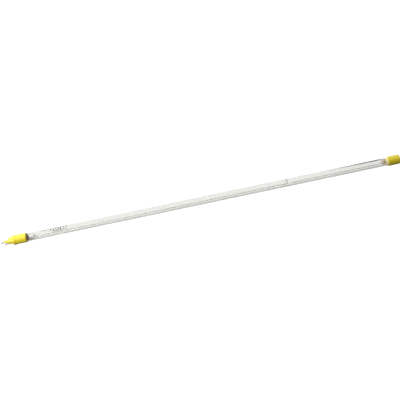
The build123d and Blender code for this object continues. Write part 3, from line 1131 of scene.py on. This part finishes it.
@dataclass
class Studio:
    """A plain pale floor under soft light, and a camera at the photograph's viewing angle."""

    floor_half: float = 6.0
    floor_colour: Colour = (0.1, 0.1, 0.1)
    floor_glow: float = 1.04  # as the camera sees it
    floor_bounce: float = 0.035  # as it lights the lamp
    near_glow: float = 0.66  # share of the glow left under the lamp's near side, through the glass
    near_edge: Span = (-5.0 * MM, 5.0 * MM)  # Y up to which it is that dark, and where it is whole
    sky: float = 1.0  # on the bright side
    shade: float = 0.03  # on the side away from it
    bright_side: Place = (-0.4, 0.52, 0.75)
    sky_edge: Span = (0.0, 0.95)  # how far a ray points to the bright side, in shade and in full sky
    lights: tuple[tuple[str, Place, float, float], ...] = (
        # name, place, size and power of each soft light, which points at the middle of the lamp
        ("key", (-0.95, 0.62, 0.6), 0.5, 7.0),
        ("fill", (-1.15, -0.5, 0.8), 0.6, 10.5),
    )
    elevation: float = math.radians(52.0)
    distance: float = 1.7
    lean: float = math.radians(11.9)  # how far the lamp's far end rises in the picture
    picture_width: float = 0.9584  # at the lamp
    aim: Span = (-1.1 * MM, 2.0 * MM)  # right of the lamp's middle in the picture, and above it
    sensor: float = 36.0

    def floor(self) -> None:
        """Lay the floor under the lowest point of the lamp.

        It glows white to the camera, as in the photograph. Seen through the glass, the glow is
        painted darker under the lamp's near side, in place of the lamp's own shadow.
        """
        low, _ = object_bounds()
        h, z = self.floor_half, low.z
        mesh = bpy.data.meshes.new("floor")
        mesh.from_pydata([(-h, -h, z), (h, -h, z), (h, h, z), (-h, h, z)], [], [(0, 1, 2, 3)])
        material = bpy.data.materials.new("pale_floor")
        bench = blank_bench(material)
        path = bench.node("LightPath").outputs
        across = bench.node("SeparateXYZ", {0: bench.node("TexCoord").outputs["Object"]}).outputs["Y"]
        share = bench.between(across, *self.near_edge, self.near_glow, 1.0)
        through = bench.maths("MULTIPLY", path["Is Transmission Ray"], share)
        seen = bench.maths("MAXIMUM", path["Is Camera Ray"], through)
        gain = self.floor_glow - self.floor_bounce
        sockets = {
            "Base Color": rgba(self.floor_colour),
            "Roughness": 0.9,
            "Emission Color": rgba((1.0, 1.0, 0.995)),
            "Emission Strength": bench.maths("MULTIPLY_ADD", seen, gain, self.floor_bounce),
        }
        bench.node("OutputMaterial", {"Surface": bench.out("BsdfPrincipled", sockets)})
        mesh.materials.append(material)
        floor = put_in_scene("floor", mesh)
        floor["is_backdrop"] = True

    def light(self) -> None:
        """Surround the lamp with a sky that is bright on one side, and hang the soft lights.

        The sky is plain white to the camera and through the glass.
        """
        world = bpy.data.worlds.new("studio")
        bpy.context.scene.world = world
        bench = blank_bench(world)
        toward = bench.along(bench.node("TexCoord").outputs["Generated"], self.bright_side)
        level = bench.between(toward, *self.sky_edge, self.shade, self.sky)
        path = bench.node("LightPath").outputs
        seen = bench.maths("MAXIMUM", path["Is Camera Ray"], path["Is Transmission Ray"])
        sockets = {"Color": rgba((1.0, 1.0, 1.0)), "Strength": bench.maths("MAXIMUM", level, seen)}
        bench.node("OutputWorld", {"Surface": bench.out("Background", sockets)})
        for name, place, size, power in self.lights:
            lamp = bpy.data.lights.new(name, "AREA")
            lamp.size = size
            lamp.energy = power
            light = put_in_scene(name, lamp)
            light.location = place
            light.rotation_euler = (-Vector(place)).to_track_quat("-Z", "Y").to_euler()

    def camera(self) -> None:
        """Place the camera over the middle of the lamp and turn the picture by the lean."""
        back = Vector((0.0, -math.cos(self.elevation), math.sin(self.elevation)))
        across = Vector((0.0, math.sin(self.elevation), math.cos(self.elevation)))
        along = Vector((1.0, 0.0, 0.0))
        right = along * math.cos(self.lean) - across * math.sin(self.lean)
        up = along * math.sin(self.lean) + across * math.cos(self.lean)
        turn = Matrix((right, up, back)).transposed().to_4x4()
        data = bpy.data.cameras.new("camera")
        data.sensor_width = self.sensor
        data.lens = self.sensor * self.distance / self.picture_width
        camera = put_in_scene("camera", data)
        place = back * self.distance + right * self.aim[0] + up * self.aim[1]
        camera.matrix_world = Matrix.Translation(place) @ turn
        bpy.context.scene.camera = camera

    def build(self) -> None:
        """Set up the floor, the light and the camera, with plain colours in the picture."""
        self.camera()
        self.floor()
        self.light()
        bpy.context.scene.view_settings.view_transform = "Standard"
        log.info("studio: camera %.2f m from the lamp", self.distance)


def main() -> None:
    """Build and dress the lamp, and set up the studio."""
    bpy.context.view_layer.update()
    Studio().build()

    dress_nodes(YELLOW, "base_cap", "far_cap")
    dress_nodes(PIN_METAL, "tip_pin_upper", "tip_pin_lower", "step_pin_upper", "step_pin_lower")
    dress_nodes(AMALGAM, "amalgam_pellet")
    for side in Side:
        dress_nodes(SLEEVE, f"wire_sleeve_{side.value}")
        dress_nodes(WIRE_METAL, f"return_wire_{side.value}")
        dress_nodes(CRIMP_METAL, f"far_crimp_{side.value}")
        for end in End:
            dress_nodes(WIRE_METAL, f"{end.value}_lead_{side.value}", f"{end.value}_post_{side.value}")
            dress_nodes(FOIL_METAL, f"{end.value}_foil_{side.value}")
            CeramicBead(end, side).build()

    QuartzTube().build()
    CementRing(End.BASE, CEMENT_BROWN, "cement_brown").build()
    CementRing(End.FAR, CEMENT_CREAM, "cement_cream").build()
    for end in End:
        Filament(end).build()
    ShrunkBand().build()
    MarkingField().build()


if __name__ == "__main__":
    main()
